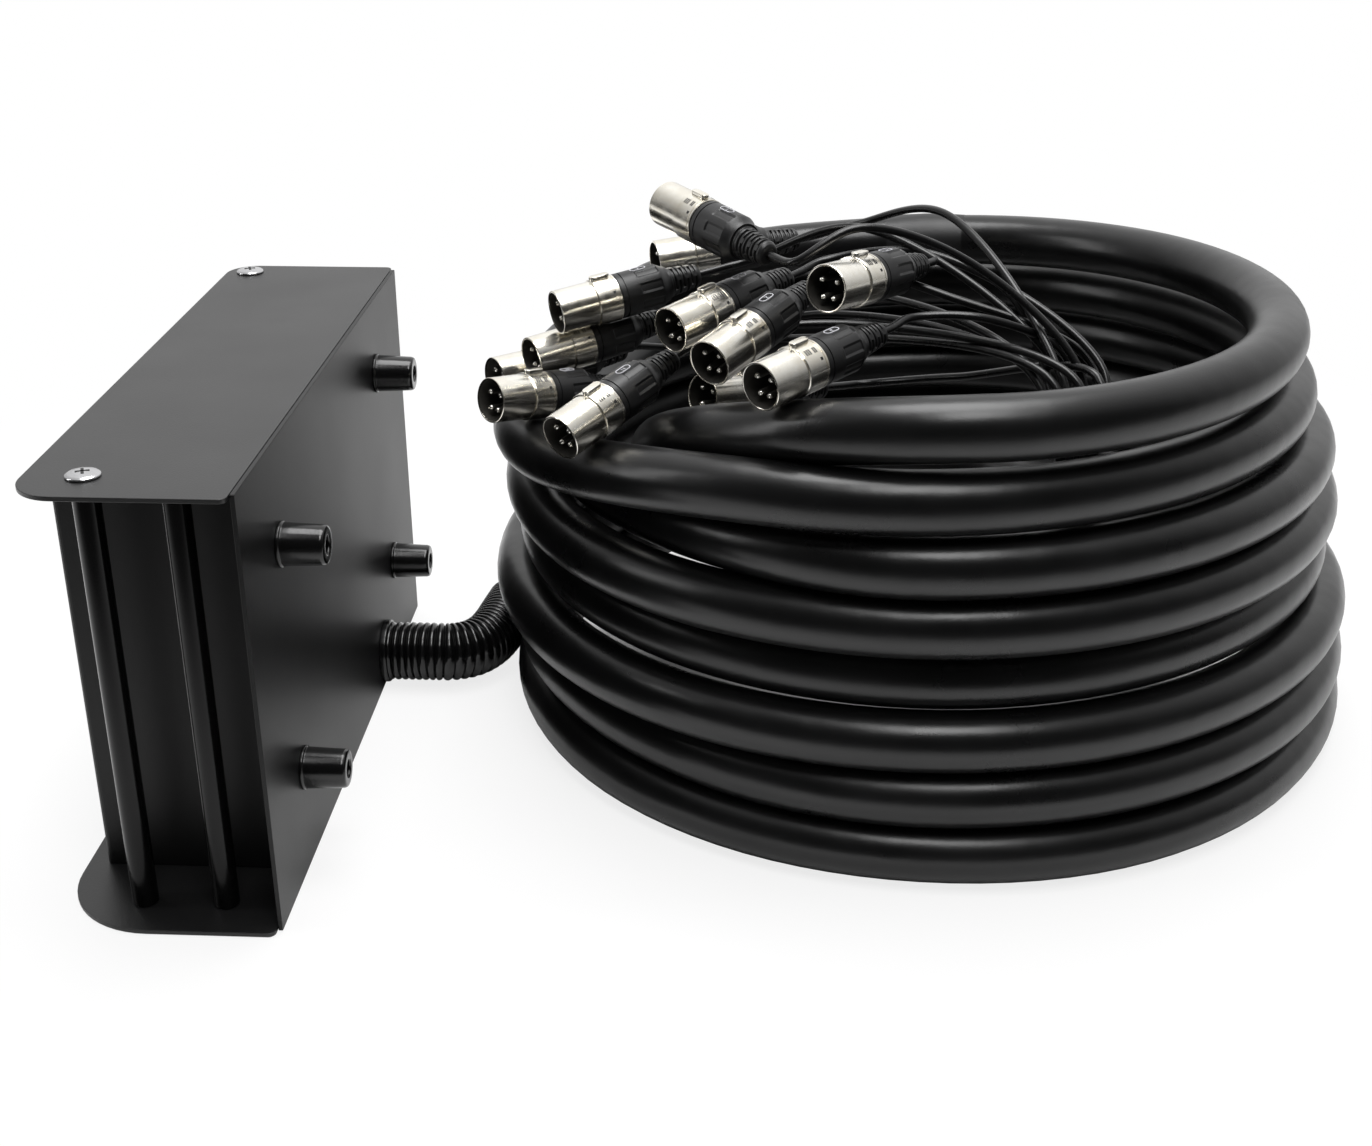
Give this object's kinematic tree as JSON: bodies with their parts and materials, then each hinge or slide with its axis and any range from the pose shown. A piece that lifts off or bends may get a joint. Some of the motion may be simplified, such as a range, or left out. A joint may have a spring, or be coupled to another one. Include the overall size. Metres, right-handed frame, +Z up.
{
  "type": "stage box snake",
  "caption": "Sheet steel stage box with chassis sockets, handle bars and rubber feet, and a coiled multicore cable that fans out to cable plugs.",
  "frame": {"origin": "on the lower side plate's underside, midway between the socket panel and the base cover and between the box's ends", "axes": "+Z up as the box stands, +Y along the box to the end where the cable leaves, +X out of the base cover with the feet"},
  "size_m": [0.5393, 0.4502, 0.248],
  "materials": {
    "plate_coat": "satin dark grey powder coat",
    "chassis_coat": "semi-gloss black paint",
    "bar_coat": "semi-gloss black paint",
    "dark_screw": "black zinc",
    "chrome_screw": "polished chrome",
    "foot_rubber": "glossy black moulded rubber",
    "gland_plastic": "black moulded plastic",
    "hose_plastic": "black ribbed plastic",
    "cable_jacket": "smooth black cable jacket",
    "shrink_tube": "black heat-shrink tube",
    "lead_jacket": "smooth black thin cable jacket",
    "socket_shell": "black coated die-cast shell",
    "latch_steel": "bright stamped steel",
    "plug_shell": "satin nickel plate"
  },
  "bodies": {
    "root": {"lower_side_plate": "plate_coat", "upper_side_plate": "plate_coat", "connector_panel": "chassis_coat", "base_cover": "chassis_coat", "handle_bar_near_left": "bar_coat", "flush_screw_near_left": "dark_screw", "handle_bar_near_right": "bar_coat", "flush_screw_near_right": "dark_screw", "handle_bar_far_left": "bar_coat", "flush_screw_far_left": "dark_screw", "handle_bar_far_right": "bar_coat", "flush_screw_far_right": "dark_screw", "domed_screw_near_left": "chrome_screw", "domed_screw_far_left": "chrome_screw", "rubber_foot_near_top": "foot_rubber", "rubber_foot_far_top": "foot_rubber", "rubber_foot_near_bottom": "foot_rubber", "rubber_foot_far_bottom": "foot_rubber", "cable_gland": "gland_plastic", "strain_relief_hose": "hose_plastic", "trunk_lead": "cable_jacket", "cable_coil": "cable_jacket", "heat_shrink_sleeve": "shrink_tube", "channel_leads": "lead_jacket", "socket_01": "socket_shell", "socket_02": "socket_shell", "socket_03": "socket_shell", "socket_04": "socket_shell", "socket_05": "socket_shell", "socket_06": "socket_shell", "socket_07": "socket_shell", "socket_08": "socket_shell", "socket_09": "socket_shell", "socket_10": "socket_shell", "socket_11": "socket_shell", "socket_12": "socket_shell", "plug_01": "plug_shell", "plug_02": "plug_shell", "plug_03": "plug_shell", "plug_04": "plug_shell", "plug_05": "plug_shell", "plug_06": "plug_shell", "plug_07": "plug_shell", "plug_08": "plug_shell", "plug_09": "plug_shell", "plug_10": "plug_shell", "plug_11": "plug_shell", "plug_12": "plug_shell"},
    "latch_01": {"push_latch_01": "latch_steel"},
    "latch_02": {"push_latch_02": "latch_steel"},
    "latch_03": {"push_latch_03": "latch_steel"},
    "latch_04": {"push_latch_04": "latch_steel"},
    "latch_05": {"push_latch_05": "latch_steel"},
    "latch_06": {"push_latch_06": "latch_steel"},
    "latch_07": {"push_latch_07": "latch_steel"},
    "latch_08": {"push_latch_08": "latch_steel"},
    "latch_09": {"push_latch_09": "latch_steel"},
    "latch_10": {"push_latch_10": "latch_steel"},
    "latch_11": {"push_latch_11": "latch_steel"},
    "latch_12": {"push_latch_12": "latch_steel"}
  },
  "joints": [
    {"name": "latch_01_press", "type": "slide", "parent": "root", "child": "latch_01", "axis": [1, 0, 0], "range_m": [0, 0.0015], "stiffness_N_per_m": 600},
    {"name": "latch_02_press", "type": "slide", "parent": "root", "child": "latch_02", "axis": [1, 0, 0], "range_m": [0, 0.0015], "stiffness_N_per_m": 600},
    {"name": "latch_03_press", "type": "slide", "parent": "root", "child": "latch_03", "axis": [1, 0, 0], "range_m": [0, 0.0015], "stiffness_N_per_m": 600},
    {"name": "latch_04_press", "type": "slide", "parent": "root", "child": "latch_04", "axis": [1, 0, 0], "range_m": [0, 0.0015], "stiffness_N_per_m": 600},
    {"name": "latch_05_press", "type": "slide", "parent": "root", "child": "latch_05", "axis": [1, 0, 0], "range_m": [0, 0.0015], "stiffness_N_per_m": 600},
    {"name": "latch_06_press", "type": "slide", "parent": "root", "child": "latch_06", "axis": [1, 0, 0], "range_m": [0, 0.0015], "stiffness_N_per_m": 600},
    {"name": "latch_07_press", "type": "slide", "parent": "root", "child": "latch_07", "axis": [1, 0, 0], "range_m": [0, 0.0015], "stiffness_N_per_m": 600},
    {"name": "latch_08_press", "type": "slide", "parent": "root", "child": "latch_08", "axis": [1, 0, 0], "range_m": [0, 0.0015], "stiffness_N_per_m": 600},
    {"name": "latch_09_press", "type": "slide", "parent": "root", "child": "latch_09", "axis": [1, 0, 0], "range_m": [0, 0.0015], "stiffness_N_per_m": 600},
    {"name": "latch_10_press", "type": "slide", "parent": "root", "child": "latch_10", "axis": [1, 0, 0], "range_m": [0, 0.0015], "stiffness_N_per_m": 600},
    {"name": "latch_11_press", "type": "slide", "parent": "root", "child": "latch_11", "axis": [1, 0, 0], "range_m": [0, 0.0015], "stiffness_N_per_m": 600},
    {"name": "latch_12_press", "type": "slide", "parent": "root", "child": "latch_12", "axis": [1, 0, 0], "range_m": [0, 0.0015], "stiffness_N_per_m": 600}
  ]
}
